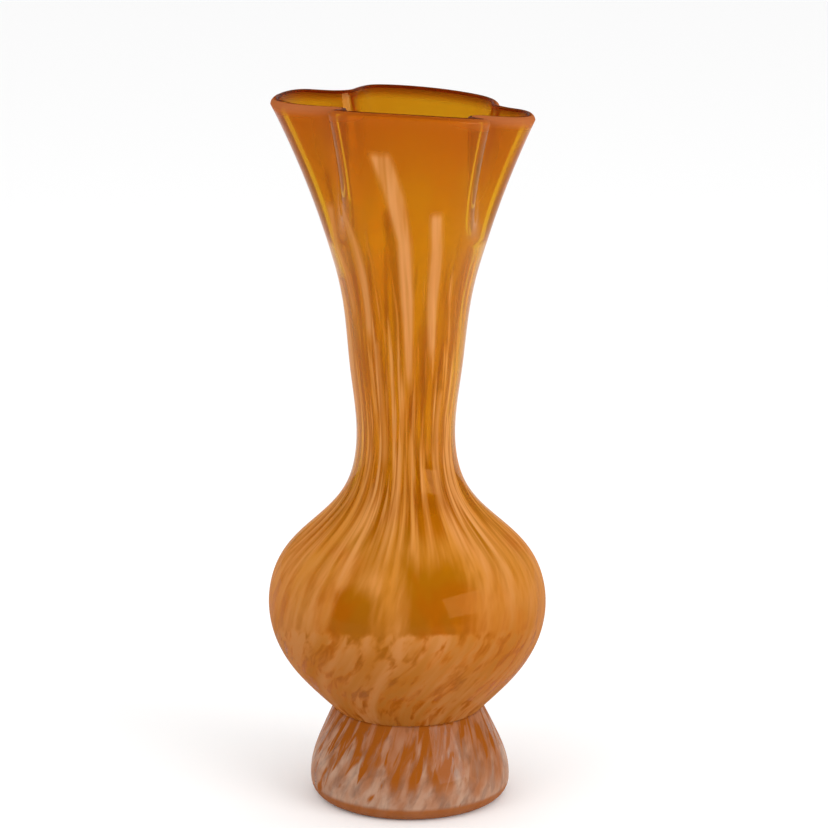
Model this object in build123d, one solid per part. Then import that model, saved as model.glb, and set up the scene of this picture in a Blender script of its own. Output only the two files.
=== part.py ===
"""Hand-blown art glass vase: a footed bottle form with a pinched, four-lobed mouth.

The body is blown as three layers fused face to face: a transparent amber lining, a thin
layer of opaque frit, and a clear casing. The hollow foot is a second small bubble built the
same way, joined at the waist, and a wafer of clear glass under the bowl is what the pontil
leaves. Millimetres, +Z up, origin at the centre of the ring that the foot stands on.
"""
from build123d import *
import os
from math import cos, exp, radians, sin, sqrt

# Foot, from the standing ring up to the waist
RING_INNER_RADIUS = 28.2
RING_OUTER_RADIUS = 30.0
FOOT_WIDEST = (35.5, 6.5)
FOOT_OUTLINE = [FOOT_WIDEST, (34.9, 12.0), (31.25, 22.0), (26.3, 32.5)]
FOOT_STATIONS = 6

# Body, from the waist over the bowl and the shoulder to the top of the neck
WAIST = (26.3, 32.5)
BODY_OUTLINE = [
    WAIST,
    (33.8, 40.0),
    (44.1, 53.0),
    (48.85, 70.0),
    (44.4, 87.0),
    (32.1, 100.0),
    (21.1, 113.0),
    (17.2, 131.0),
    (19.5, 155.0),
    (22.4, 180.0),
    (25.2, 192.0),
]
BODY_STATIONS = 22
WAIST_RUN = (1.0, 1.0)  # direction in which the wall leaves the waist

# Flare above the neck: the radius is a quadratic in height
FLARE_START_Z = 192.0
FLARE_START_RADIUS = 25.2
FLARE_SLOPE = 0.29
FLARE_CURVE = 0.002
LOWER_FLARE_STEPS = 4
UPPER_FLARE_STEPS = 3

# Lip: drops from -X to +X, with the front and back lobes lifted a little
LIP_Z = 246.0
LIP_DROP = 0.061  # fall for each millimetre along +X
LIP_LIFT = 0.8
LIP_ROUND = 1.3  # height of the rounded edge

# Squeezes in the hot lip: azimuth, share of the flare taken away, and width, in degrees.
# Four are the pinches between the lobes, and the broad ones flatten the front and right lobes.
SQUEEZES = [
    (29.0, 0.42, 12.0),
    (127.0, 0.50, 13.0),
    (212.0, 0.85, 12.0),
    (331.0, 0.92, 11.0),
    (271.0, 0.55, 50.0),
    (0.0, 0.02, 25.0),
]
SQUEEZE_START_Z = 200.0
SECTION_POINTS = 48

# Layers, as depths measured in from the outer face of the wall
CASING_DEPTH = 1.6
FRIT_DEPTH = 2.0
WALL_DEPTH = 3.2
FRIT_TOP_Z = 226.0
FOOT_CASING_DEPTH = 1.8
FOOT_FRIT_DEPTH = 2.2

# Bottom of the bowl, on the axis
UNDERSIDE_Z = 26.5
FLOOR_RISE = 1.875  # rise on the axis for each millimetre of depth

# Wafer left by the pontil
WAFER_RADIUS = 7.5
WAFER_HEIGHT = 1.6
WAFER_EDGE = 0.6


def at(radius, height):
    """A point of a half outline, in the plane that is turned about Z."""
    return Vector(radius, 0, height)


def offset_points(curve, depth, stations):
    """Points spread along a half outline, moved in from its outer side by depth."""
    points = []
    for index in range(stations + 1):
        share = index / stations
        place = curve @ share
        run = curve % share
        points.append(at(place.X - depth * run.Z, place.Z + depth * run.X))
    return points


def flare_radius(height):
    """Radius of the flare's outer face between the squeezes."""
    rise = height - FLARE_START_Z
    return FLARE_START_RADIUS + FLARE_SLOPE * rise + FLARE_CURVE * rise**2


def flare_lean(height):
    """Horizontal thickness of a leaning wall that is one millimetre thick."""
    slope = FLARE_SLOPE + 2 * FLARE_CURVE * (height - FLARE_START_Z)
    return sqrt(1 + slope**2)


def squeeze_share(azimuth):
    """Share of the flare that the squeezes take away at an azimuth in degrees."""
    share = 0.0
    for centre, strength, width in SQUEEZES:
        away = (azimuth - centre + 180.0) % 360.0 - 180.0
        share += strength * exp(-((away / width) ** 2))
    return share


def flare_point(height, azimuth, depth):
    """A point of the flare at some depth in from its outer face."""
    radius = flare_radius(height)
    taken = max(0.0, radius - flare_radius(SQUEEZE_START_Z))
    radius -= taken * squeeze_share(azimuth)
    radius -= depth * flare_lean(height)
    return Vector(radius * cos(radians(azimuth)), radius * sin(radians(azimuth)), height)


def section(height, depth, tilt, drop=0.0):
    """One closed section of the flare, tilted by a share of the lip's own shape.

    A tilt of 0 is level and 1 follows the lip.
    """
    points = []
    for index in range(SECTION_POINTS):
        azimuth = 360.0 * index / SECTION_POINTS
        level = flare_point(height, azimuth, 0.0)
        shift = -LIP_DROP * level.X - LIP_LIFT * cos(radians(2 * azimuth))
        points.append(flare_point(height + tilt * shift - drop, azimuth, depth))
    return Wire([Spline(*points, periodic=True)])


def neck_ring(depth):
    """The circle where the neck ends and the flare starts."""
    radius = FLARE_START_RADIUS - depth * flare_lean(FLARE_START_Z)
    return Wire([Edge.make_circle(radius, Plane((0, 0, FLARE_START_Z)))])


def lower_flare(depth):
    """Wall of the flare up to where the frit ends."""
    rings = [neck_ring(depth)]
    step = (FRIT_TOP_Z - FLARE_START_Z) / LOWER_FLARE_STEPS
    for index in range(1, LOWER_FLARE_STEPS + 1):
        rings.append(section(FLARE_START_Z + step * index, depth, 0.0))
    return Shell.make_loft(rings).faces()


def upper_flare(depth, drop):
    """Wall of the flare from the end of the frit to the rounded edge of the lip."""
    rings = []
    for index in range(UPPER_FLARE_STEPS + 1):
        share = index / UPPER_FLARE_STEPS
        height = FRIT_TOP_Z + share * (LIP_Z - FRIT_TOP_Z)
        rings.append(section(height, depth, share, share * drop))
    return Shell.make_loft(rings).faces()


def lip_edge(depth):
    """Rounded edge between a face of the wall at some depth and the crest of the lip."""
    bow = sqrt(0.5)
    middle = CASING_DEPTH + (depth - CASING_DEPTH) * bow
    rings = [
        section(LIP_Z, depth, 1.0, LIP_ROUND),
        section(LIP_Z, middle, 1.0, LIP_ROUND * (1 - bow)),
        section(LIP_Z, CASING_DEPTH, 1.0, 0.0),
    ]
    return Shell.make_loft(rings).faces()


def frit_edge():
    """Level step where the frit ends, between the casing and the lining."""
    rings = [section(FRIT_TOP_Z, CASING_DEPTH, 0.0), section(FRIT_TOP_Z, FRIT_DEPTH, 0.0)]
    return Shell.make_loft(rings, ruled=True).faces()


def bowl_lines(depth):
    """Half outline of one layer boundary, from the axis under the bowl to the neck's top."""
    start = Vector(WAIST_RUN[0], 0, WAIST_RUN[1])
    end = Vector(FLARE_SLOPE, 0, 1)
    wall = Spline(*[at(*point) for point in BODY_OUTLINE], tangents=[start, end])
    if depth > 0:
        points = offset_points(wall, depth, BODY_STATIONS)
        ring_radius = FLARE_START_RADIUS - depth * flare_lean(FLARE_START_Z)
        points[-1] = at(ring_radius, FLARE_START_Z)
        wall = Spline(*points, tangents=[start, end])
    centre = at(0, UNDERSIDE_Z + FLOOR_RISE * depth)
    floor = Spline(centre, wall @ 0, tangents=[Vector(1, 0, 0), start])
    return [floor, wall]


def bowl_and_neck(depth):
    """Wall of the bowl, shoulder and neck, with its closed bottom."""
    return Shell.revolve(Wire(bowl_lines(depth)), 360, Axis.Z).faces()


def layer(*groups):
    """One closed solid from the faces around it."""
    faces = [face for group in groups for face in group]
    return Solid(Shell(faces))


def body_nodes():
    """The three layers of the body, which share the faces between them."""
    depths = (0.0, CASING_DEPTH, FRIT_DEPTH, WALL_DEPTH)
    low = {depth: bowl_and_neck(depth) + lower_flare(depth) for depth in depths}
    outside = upper_flare(0.0, LIP_ROUND)
    between = upper_flare(CASING_DEPTH, 0.0)
    inside = upper_flare(WALL_DEPTH, LIP_ROUND)
    step = frit_edge()
    return {
        "clear_casing": layer(low[0.0], outside, lip_edge(0.0), between, low[CASING_DEPTH]),
        "frit_layer": layer(low[CASING_DEPTH], step, low[FRIT_DEPTH]),
        "amber_lining": layer(
            low[FRIT_DEPTH], step, between, lip_edge(WALL_DEPTH), inside, low[WALL_DEPTH]
        ),
    }


def bowl_underside():
    """Plain solid of the bowl's bottom, to cut the foot to."""
    floor, wall = bowl_lines(0.0)
    top = wall @ 1
    lid = Line(top, at(0, top.Z))
    axis = Line(at(0, top.Z), floor @ 0)
    return revolve(Face(Wire([floor, wall, lid, axis])), Axis.Z)


def foot_curve():
    """Outer face of the foot, from its widest point up into the waist."""
    points = [at(*point) for point in FOOT_OUTLINE]
    return Spline(*points, tangents=[Vector(0, 0, 1), Vector(-0.5, 0, 1)])


def foot_wall(depth):
    """Half outline of one layer boundary of the foot."""
    return Spline(*offset_points(foot_curve(), depth, FOOT_STATIONS))


def foot_layer(outside, inside):
    """A layer of the foot's wall between two half outlines."""
    base = Line(inside @ 0, outside @ 0)
    collar = Line(outside @ 1, inside @ 1)
    return revolve(Face(Wire([base, outside, collar, inside])), Axis.Z)


def foot_rim():
    """Rolled rim that the foot stands on, below the layers."""
    outer = foot_curve() @ 0
    inner = foot_wall(WALL_DEPTH) @ 0
    outside = Spline(
        at(RING_OUTER_RADIUS, 0), outer, tangents=[Vector(1, 0, 0.15), Vector(0, 0, 1)]
    )
    inside = Spline(
        at(RING_INNER_RADIUS, 0), inner, tangents=[Vector(-0.2, 0, 1), Vector(0, 0, 1)]
    )
    ring = Line(inside @ 0, outside @ 0)
    return revolve(Face(Wire([ring, outside, Line(outer, inner), inside])), Axis.Z)


def foot_nodes(bowl):
    """The foot's casing with its rim, its frit and its lining, cut to the bowl."""
    casing_face = foot_wall(FOOT_CASING_DEPTH)
    frit_face = foot_wall(FOOT_FRIT_DEPTH)
    casing = foot_layer(foot_curve(), casing_face) + foot_rim()
    return {
        "foot_casing": casing - bowl,
        "foot_frit": foot_layer(casing_face, frit_face) - bowl,
        "foot_lining": foot_layer(frit_face, foot_wall(WALL_DEPTH)) - bowl,
    }


def pontil_wafer(bowl):
    """Low disc of clear glass under the bowl, where the vase was held while its lip was made."""
    base = Pos(0, 0, UNDERSIDE_Z - WAFER_HEIGHT)
    align = (Align.CENTER, Align.CENTER, Align.MIN)
    disc = base * Cylinder(WAFER_RADIUS, 2 * WAFER_HEIGHT, align=align)
    rim = disc.edges().group_by(Axis.Z)[0]
    return fillet(rim, WAFER_EDGE) - bowl


def build_nodes():
    """Make every piece and return it under its node name."""
    bowl = bowl_underside()
    nodes = body_nodes()
    nodes.update(foot_nodes(bowl))
    nodes["pontil_wafer"] = pontil_wafer(bowl)
    return nodes


os.makedirs("parts", exist_ok=True)
for node, shape in build_nodes().items():
    export_step(shape, f"parts/{node}.step")
    print(node, round(shape.volume), "mm3")
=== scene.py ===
"""Looks of a hand-blown amber vase: cased glass body, drawn frit, footed base and studio.

The body is three fused layers, and the foot three more. Each layer is a closed mesh whose
faces that touch the next layer are invisible, so light bends only where glass meets air.
Metres, +Z up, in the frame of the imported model.
"""

import logging
import math
from dataclasses import dataclass, fields, replace
from enum import Enum
from typing import Any, Callable

import bmesh
import bpy
import numpy as np
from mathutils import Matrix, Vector


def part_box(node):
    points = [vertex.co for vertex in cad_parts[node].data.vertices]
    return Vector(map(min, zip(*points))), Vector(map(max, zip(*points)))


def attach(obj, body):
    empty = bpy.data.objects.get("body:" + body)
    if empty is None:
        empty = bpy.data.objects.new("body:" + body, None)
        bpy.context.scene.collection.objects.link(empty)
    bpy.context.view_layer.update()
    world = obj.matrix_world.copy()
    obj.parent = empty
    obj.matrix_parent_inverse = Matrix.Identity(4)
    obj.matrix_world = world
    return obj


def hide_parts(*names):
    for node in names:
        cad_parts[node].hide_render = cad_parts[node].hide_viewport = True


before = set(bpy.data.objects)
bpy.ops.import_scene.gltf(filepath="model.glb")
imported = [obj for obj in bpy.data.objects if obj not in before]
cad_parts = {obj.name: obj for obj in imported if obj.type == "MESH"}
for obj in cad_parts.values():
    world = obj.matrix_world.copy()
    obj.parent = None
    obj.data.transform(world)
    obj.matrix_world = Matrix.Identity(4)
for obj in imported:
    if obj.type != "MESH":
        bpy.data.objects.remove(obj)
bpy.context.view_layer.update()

LOG = logging.getLogger("vase")
MM = 0.001
FRONT = 270.0  # azimuth of the side towards the camera, in degrees
SPAN_STEPS = 40  # samples between two knots of an outline
TUBE_RADIUS = 30.0  # millimetres, of the tube that patterns are laid out on
HAIR = 0.02  # millimetres, the gap that keeps fused faces from lying in one plane
SWAYS = ((0.9, 0.0, 28.0), (-0.6, 135.0, 45.0))  # axis: mm sideways, at a height, over a span
Grid = np.ndarray
Colour = tuple[float, float, float, float]
Pair = tuple[float, float]
Rows = tuple[int, int, int]


class Face(Enum):
    """Material slots of a layer: the face that meets air and the face fused to glass."""

    OPEN = 0
    FUSED = 1


class Layout(Enum):
    """What a pattern follows: the drawn glass, the slanting flecks or plain space."""

    FLOW = "flow"
    SLANT = "slant"
    SPACE = "space"


def tone(red: float, green: float, blue: float) -> Colour:
    """An opaque linear colour."""
    return (red, green, blue, 1.0)


def grey(value: float) -> Colour:
    """An opaque grey."""
    return tone(value, value, value)


def corner_of(node: str, which: int) -> Vector:
    """Lowest (0) or highest (1) corner of a CAD node's box, in millimetres."""
    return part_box(node)[which] / MM


AMBER_GLINT = tone(0.80, 0.42, 0.16)
WAIST = (26.3, corner_of("foot_casing", 1).z)  # radius and height where body and foot meet


# ---------------------------------------------------------------- shader bench


class Signal:
    """A shader socket that can be used in Python sums."""

    def __init__(self, bench: "Bench", socket: bpy.types.NodeSocket) -> None:
        """Wrap one output socket.

        Args:
            bench: the bench that owns the node tree.
            socket: the output socket.
        """
        self.bench = bench
        self.socket = socket

    def _math(self, operation: str, *others: "Signal | float") -> "Signal":
        """Join this socket and others with one Math node.

        Args:
            operation: the Math node's operation.
            others: the further inputs, in order.

        Returns:
            The node's result.
        """
        inputs = {index + 1: other for index, other in enumerate(others)}
        return self.bench.add("ShaderNodeMath", {"operation": operation}, {0: self, **inputs})

    def __add__(self, other: "Signal | float") -> "Signal":
        """Sum."""
        return self._math("ADD", other)

    def __sub__(self, other: "Signal | float") -> "Signal":
        """Difference."""
        return self._math("SUBTRACT", other)

    def __mul__(self, other: "Signal | float") -> "Signal":
        """Product."""
        return self._math("MULTIPLY", other)

    def __rsub__(self, other: float) -> "Signal":
        """Difference from a plain number."""
        return self.bench.add("ShaderNodeMath", {"operation": "SUBTRACT"}, {0: other, 1: self})

    __radd__ = __add__
    __rmul__ = __mul__

    def power(self, other: "Signal | float") -> "Signal":
        """This value raised to another."""
        return self._math("POWER", other)

    def sine(self) -> "Signal":
        """Sine of an angle in radians."""
        return self._math("SINE")

    def cosine(self) -> "Signal":
        """Cosine of an angle in radians."""
        return self._math("COSINE")

    def sign(self) -> "Signal":
        """One with the value's sign."""
        return self._math("SIGN")

    def size(self) -> "Signal":
        """The value without its sign."""
        return self._math("ABSOLUTE")

    def at_most(self, other: "Signal | float") -> "Signal":
        """The smaller of the two."""
        return self._math("MINIMUM", other)

    def at_least(self, other: "Signal | float") -> "Signal":
        """The larger of the two."""
        return self._math("MAXIMUM", other)

    def step(self, low: "Signal | float", high: "Signal | float") -> "Signal":
        """Smooth step from 0 at low to 1 at high.

        Args:
            low: the value that gives 0.
            high: the value that gives 1.

        Returns:
            The eased share.
        """
        settings = {"interpolation_type": "SMOOTHSTEP"}
        inputs = {"Value": self, "From Min": low, "From Max": high}
        return self.bench.add("ShaderNodeMapRange", settings, inputs)


class Bench:
    """Builds the nodes of one material or world."""

    def __init__(self, owner: "bpy.types.Material | bpy.types.World") -> None:
        """Start from an empty tree.

        Args:
            owner: the material or world to build.
        """
        owner.use_nodes = True
        self.owner = owner
        self.tree = owner.node_tree
        self.tree.nodes.clear()

    def node(
        self,
        kind: str,
        settings: dict[str, Any] | None = None,
        inputs: dict[str | int, Any] | None = None,
    ) -> bpy.types.Node:
        """Add a node, set it up and link it.

        Args:
            kind: the node's type.
            settings: its properties, set before any socket.
            inputs: values or signals by socket name or number.

        Returns:
            The node.
        """
        node = self.tree.nodes.new(kind)
        for key, value in (settings or {}).items():
            setattr(node, key, value)
        for key, value in (inputs or {}).items():
            if isinstance(value, Signal):
                self.tree.links.new(value.socket, node.inputs[key])
            else:
                node.inputs[key].default_value = value
        return node

    def add(
        self,
        kind: str,
        settings: dict[str, Any] | None = None,
        inputs: dict[str | int, Any] | None = None,
        output: str | int = 0,
    ) -> Signal:
        """Add a node and hand back one of its outputs."""
        return Signal(self, self.node(kind, settings, inputs).outputs[output])

    def attribute(self, name: str, output: str = "Fac") -> Signal:
        """Read one of the piece's own attributes."""
        return self.add("ShaderNodeAttribute", {"attribute_name": name}, output=output)

    def place(self) -> Signal:
        """Where a point lies on the piece, in metres."""
        return self.add("ShaderNodeTexCoord", output="Object")

    def along(self, axis: str) -> Signal:
        """Where a point lies along the axis X, Y or Z, in metres."""
        return self.add("ShaderNodeSeparateXYZ", inputs={0: self.place()}, output=axis)

    def blend(self, share: Signal | float, first: Any, second: Any) -> Signal:
        """Mix two colours, given the share of the second."""
        inputs = {0: share, 6: first, 7: second}
        return self.add("ShaderNodeMix", {"data_type": "RGBA"}, inputs, output=2)

    def ramp(self, share: Signal, stops: tuple[tuple[float, Colour], ...]) -> Signal:
        """Colour that changes along a share from 0 to 1.

        Args:
            share: the place along the ramp.
            stops: places and their colours, in order.

        Returns:
            The colour.
        """
        node = self.node("ShaderNodeValToRGB", None, {"Fac": share})
        elements = node.color_ramp.elements
        while len(elements) > 1:
            elements.remove(elements[-1])
        elements[0].position = stops[0][0]
        elements[0].color = stops[0][1]
        for place, colour in stops[1:]:
            elements.new(place).color = colour
        return Signal(self, node.outputs[0])

    def mix(self, share: Signal | float, first: Signal, second: Signal) -> Signal:
        """Mix two shaders, given the share of the second."""
        return self.add("ShaderNodeMixShader", None, {0: share, 1: first, 2: second})

    def finish(self, surface: Signal) -> "bpy.types.Material | bpy.types.World":
        """Close the tree with its surface.

        Args:
            surface: the shader it ends with.

        Returns:
            The material or world.
        """
        is_world = isinstance(self.owner, bpy.types.World)
        kind = "ShaderNodeOutputWorld" if is_world else "ShaderNodeOutputMaterial"
        self.node(kind, None, {"Surface": surface})
        return self.owner


class ShapeBench(Bench):
    """Builds a geometry tree with named inputs."""

    def __init__(self, name: str) -> None:
        """Start an empty tree.

        Args:
            name: the tree's name.
        """
        self.tree = bpy.data.node_groups.new(name, "GeometryNodeTree")
        self.tree.interface.new_socket(
            "Geometry", in_out="OUTPUT", socket_type="NodeSocketGeometry"
        )
        self.entry = self.tree.nodes.new("NodeGroupInput")
        self.keys: dict[str, str] = {}

    def parameter(self, name: str) -> Signal:
        """Add a named number to the tree's inputs.

        Args:
            name: its name.

        Returns:
            The number.
        """
        made = self.tree.interface.new_socket(
            name, in_out="INPUT", socket_type="NodeSocketFloat"
        )
        self.keys[name] = made.identifier
        return Signal(self, self.entry.outputs[name])

    def run(
        self, name: str, shape: Signal, finish: bpy.types.Material, sizes: dict[str, float]
    ) -> bpy.types.Object:
        """Close the tree, run it and keep the plain mesh.

        Args:
            name: the piece's name.
            shape: the geometry the tree ends with.
            finish: its material.
            sizes: a value for each named input.

        Returns:
            The piece, in the scene.
        """
        whole = self.add("GeometryNodeRealizeInstances", None, {0: shape})
        dressed = self.add("GeometryNodeSetMaterial", None, {"Geometry": whole, "Material": finish})
        self.node("NodeGroupOutput", None, {0: dressed})
        piece = bpy.data.objects.new(name, bpy.data.meshes.new(name))
        bpy.context.scene.collection.objects.link(piece)
        modifier = piece.modifiers.new("shape", "NODES")
        modifier.node_group = self.tree
        for key, value in sizes.items():
            modifier[self.keys[key]] = value
        graph = bpy.context.evaluated_depsgraph_get()
        mesh = bpy.data.meshes.new_from_object(piece.evaluated_get(graph))
        piece.modifiers.remove(modifier)
        piece.data = mesh
        mesh.name = name
        return piece


# ---------------------------------------------------------------- finishes


@dataclass(frozen=True)
class Grain:
    """Cloudy noise in the glass, stretched along the third axis of its layout."""

    layout: Layout
    stretch: float
    scale: float
    detail: float
    warp: float = 0.0

    def read(self, bench: Bench) -> Signal:
        """Its value at each point, around one half.

        Args:
            bench: the material being built.

        Returns:
            The value.
        """
        if self.layout is Layout.SPACE:
            place = bench.place()
        else:
            place = bench.attribute(self.layout.value, "Vector")
        drawn = {"Vector": place, "Scale": (1.0, 1.0, self.stretch)}
        inputs = {
            "Vector": bench.add("ShaderNodeMapping", {"vector_type": "POINT"}, drawn),
            "Scale": self.scale,
            "Detail": self.detail,
            "Distortion": self.warp,
        }
        return bench.add("ShaderNodeTexNoise", None, inputs)


@dataclass(frozen=True)
class FritPattern:
    """Where the crushed glass lies on the body: drawn streaks above, slanting strokes below.

    Edges are pairs of the values, or the heights in metres, where a share starts and is full.
    """

    long_run: Grain = Grain(Layout.FLOW, 0.06, 300.0, 2.0, 0.15)
    fine_run: Grain = Grain(Layout.FLOW, 0.08, 640.0, 1.0, 0.1)
    strokes: Grain = Grain(Layout.FLOW, 0.36, 440.0, 2.0, 0.35)
    flecks: Grain = Grain(Layout.SLANT, 0.20, 400.0, 2.0, 0.3)
    frit_cloud: Grain = Grain(Layout.FLOW, 0.15, 160.0, 3.0)
    amber_cloud: Grain = Grain(Layout.SPACE, 0.6, 52.0, 2.0, 0.8)
    tall: float = 0.25
    densities: tuple[Pair, ...] = (
        (0.00, 0.70),
        (0.20, 0.66),
        (0.30, 0.62),
        (0.40, 0.50),
        (0.52, 0.43),
        (0.62, 0.38),
        (0.74, 0.27),
        (0.84, 0.12),
        (0.92, 0.00),
    )
    ambers: tuple[tuple[float, Colour], ...] = (
        (0.12, tone(0.40, 0.105, 0.008)),
        (0.24, tone(0.44, 0.128, 0.008)),
        (0.36, tone(0.56, 0.195, 0.003)),
        (0.46, tone(0.60, 0.210, 0.002)),
        (0.56, tone(0.70, 0.245, 0.004)),
        (0.78, tone(0.66, 0.262, 0.002)),
        (0.90, tone(0.62, 0.230, 0.001)),
        (0.98, tone(0.54, 0.130, 0.001)),
    )
    fine_share: float = 0.35
    fleck_share: float = 0.45
    clear_share: float = 0.85
    bare_level: float = 0.72
    level_fall: float = 0.44
    edge: float = 0.10
    bowl_soft: float = 0.18
    low_soft: float = 0.08
    fleck_edge: Pair = (0.110, 0.085)
    top_edge: Pair = (0.222, 0.182)
    drawn_edge: Pair = (0.30, 0.62)
    dip_level: float = 0.0615
    dip_soft: float = 0.0015
    dip_slant: float = 0.23
    frit_edge: Pair = (0.35, 0.65)
    peach: tuple[Colour, Colour] = (tone(0.66, 0.265, 0.045), tone(0.73, 0.33, 0.095))
    brown: tuple[Colour, Colour] = (tone(0.42, 0.144, 0.020), tone(0.51, 0.200, 0.055))
    brown_edge: Pair = (0.105, 0.055)
    pale_edge: Pair = (0.5, 1.0)
    pale: Colour = tone(0.76, 0.37, 0.14)
    patch_edge: Pair = (0.36, 0.64)
    patch_share: float = 0.60
    patch: Colour = tone(0.56, 0.130, 0.001)
    fold: Colour = tone(0.42, 0.135, 0.05)
    fold_share: float = 0.8
    fold_milk: float = 0.62
    bowl_milk: float = 0.30
    bowl_edge: Pair = (0.120, 0.092)

    def density(self, bench: Bench) -> Signal:
        """Share of the glass that frit covers, by height.

        Args:
            bench: the material being built.

        Returns:
            A value from 0 to 1.
        """
        stops = tuple((place, grey(value)) for place, value in self.densities)
        ramp = bench.ramp(bench.along("Z") * (1.0 / self.tall), stops)
        return bench.add("ShaderNodeRGBToBW", None, {0: ramp})

    def dip(self, bench: Bench) -> Signal:
        """Share of the second, lower roll in the frit, whose edge lies aslant.

        Args:
            bench: the material being built.

        Returns:
            0 above the edge and 1 below it.
        """
        level = bench.along("Z") + bench.along("Y") * self.dip_slant
        return level.step(self.dip_level + self.dip_soft, self.dip_level - self.dip_soft)

    def mask(self, bench: Bench) -> Signal:
        """Frit cover over the body.

        Args:
            bench: the material being built.

        Returns:
            0 in clear glass and 1 in frit.
        """
        low = self.dip(bench)
        bowl = bench.along("Z").step(*self.fleck_edge)
        long_run = self.long_run.read(bench) * (1.0 - self.fine_share)
        drawn_out = long_run + self.fine_run.read(bench) * self.fine_share
        flecked = bowl * self.fleck_share
        streaks = drawn_out * (1.0 - flecked) + self.flecks.read(bench) * flecked
        cover = streaks * (1.0 - low) + self.strokes.read(bench) * low
        clearing = bench.attribute("clearing") * (1.0 - low)
        density = self.density(bench) - clearing * self.clear_share
        level = self.bare_level - density * self.level_fall
        soft = bowl * (1.0 - low) * self.bowl_soft + low * self.low_soft + self.edge
        natural = cover.step(level - soft, level + soft)
        natural = natural * bench.along("Z").step(*self.top_edge)
        drawn = bench.attribute("drawn") * (streaks.step(*self.drawn_edge) * 0.5 + 0.5)
        return natural.at_least(drawn)

    def colour(self, bench: Bench) -> Signal:
        """Colour of the frit, peach above and browner below.

        Args:
            bench: the material being built.

        Returns:
            The colour.
        """
        cloud = self.frit_cloud.read(bench).step(*self.frit_edge)
        peach = bench.blend(cloud, *self.peach)
        brown = bench.blend(cloud, *self.brown)
        mixed = bench.blend(bench.along("Z").step(*self.brown_edge), peach, brown)
        drawn = bench.attribute("drawn").step(*self.pale_edge) * 0.5
        return bench.blend(drawn, mixed, self.pale)

    def amber(self, bench: Bench) -> Signal:
        """Colour of the amber between the frit, deepest at the lip and the bowl.

        Args:
            bench: the material being built.

        Returns:
            The colour.
        """
        cloud = self.amber_cloud.read(bench).step(*self.patch_edge)
        base = bench.ramp(bench.along("Z") * (1.0 / self.tall), self.ambers)
        return bench.blend(cloud * self.patch_share, base, self.patch)

    def seen(self, bench: Bench) -> Signal:
        """Colour of what shows under the casing.

        Args:
            bench: the material being built.

        Returns:
            The colour.
        """
        colour = bench.blend(self.mask(bench), self.amber(bench), self.colour(bench))
        return bench.blend(bench.attribute("fold") * self.fold_share, colour, self.fold)

    def milk(self, bench: Bench) -> Signal:
        """How cloudy the folds and the bowl are, beyond the frit itself."""
        bowl = bench.along("Z").step(*self.bowl_edge)
        return bench.attribute("fold") * self.fold_milk + bowl * self.bowl_milk


@dataclass(frozen=True)
class FootPattern:
    """Frit of the foot: pale chips with amber pulled down through them from the waist."""

    tongues: Grain = Grain(Layout.FLOW, 0.20, 360.0, 3.0, 0.6)
    chips: Grain = Grain(Layout.FLOW, 0.45, 330.0, 4.0, 0.4)
    chip_cloud: Grain = Grain(Layout.FLOW, 0.5, 230.0, 3.0)
    low_level: float = 0.66
    level_fall: float = 0.20
    fall_edge: Pair = (0.004, 0.034)
    tongue_soft: Pair = (0.05, 0.07)
    stroke_edge: Pair = (0.34, 0.56)
    stroke_grain: float = 0.6
    band_edge: Pair = (0.0058, 0.0040)
    band_share: float = 0.85
    chip_edge: Pair = (0.26, 0.60)
    cloud_edge: Pair = (0.30, 0.70)
    pale: tuple[Colour, Colour] = (tone(0.44, 0.20, 0.105), tone(0.56, 0.35, 0.24))
    top: Colour = tone(0.48, 0.18, 0.075)
    top_edge: Pair = (0.016, 0.036)
    top_share: float = 0.7
    tongue: Colour = tone(0.37, 0.098, 0.008)

    def amber(self, bench: Bench) -> Signal:
        """Amber tongues that run down from the waist and thin out.

        Args:
            bench: the material being built.

        Returns:
            0 away from them and 1 inside.
        """
        tongues = self.tongues.read(bench)
        level = self.low_level - bench.along("Z").step(*self.fall_edge) * self.level_fall
        band = bench.along("Z").step(*self.band_edge) * self.band_share
        grain = tongues.step(*self.stroke_edge) * self.stroke_grain
        strokes = bench.attribute("drawn") * (grain + (1.0 - self.stroke_grain))
        runs = tongues.step(level - self.tongue_soft[0], level + self.tongue_soft[1])
        return runs.at_least(band).at_least(strokes)

    def mask(self, bench: Bench) -> Signal:
        """Cover of chips and tongues, 0 in clear glass and 1 in frit."""
        chips = self.chips.read(bench).step(*self.chip_edge)
        return chips.at_least(self.amber(bench))

    def colour(self, bench: Bench) -> Signal:
        """Colour of the foot's frit.

        Args:
            bench: the material being built.

        Returns:
            The colour.
        """
        cloud = self.chip_cloud.read(bench).step(*self.cloud_edge)
        top = bench.along("Z").step(*self.top_edge)
        pale = bench.blend(top * self.top_share, bench.blend(cloud, *self.pale), self.top)
        return bench.blend(self.amber(bench), pale, self.tongue)

    def seen(self, bench: Bench) -> Signal:
        """Colour of what shows under the casing."""
        return self.colour(bench)

    def milk(self, bench: Bench) -> float:
        """The foot isn't cloudy beyond its frit."""
        return 0.0


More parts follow.
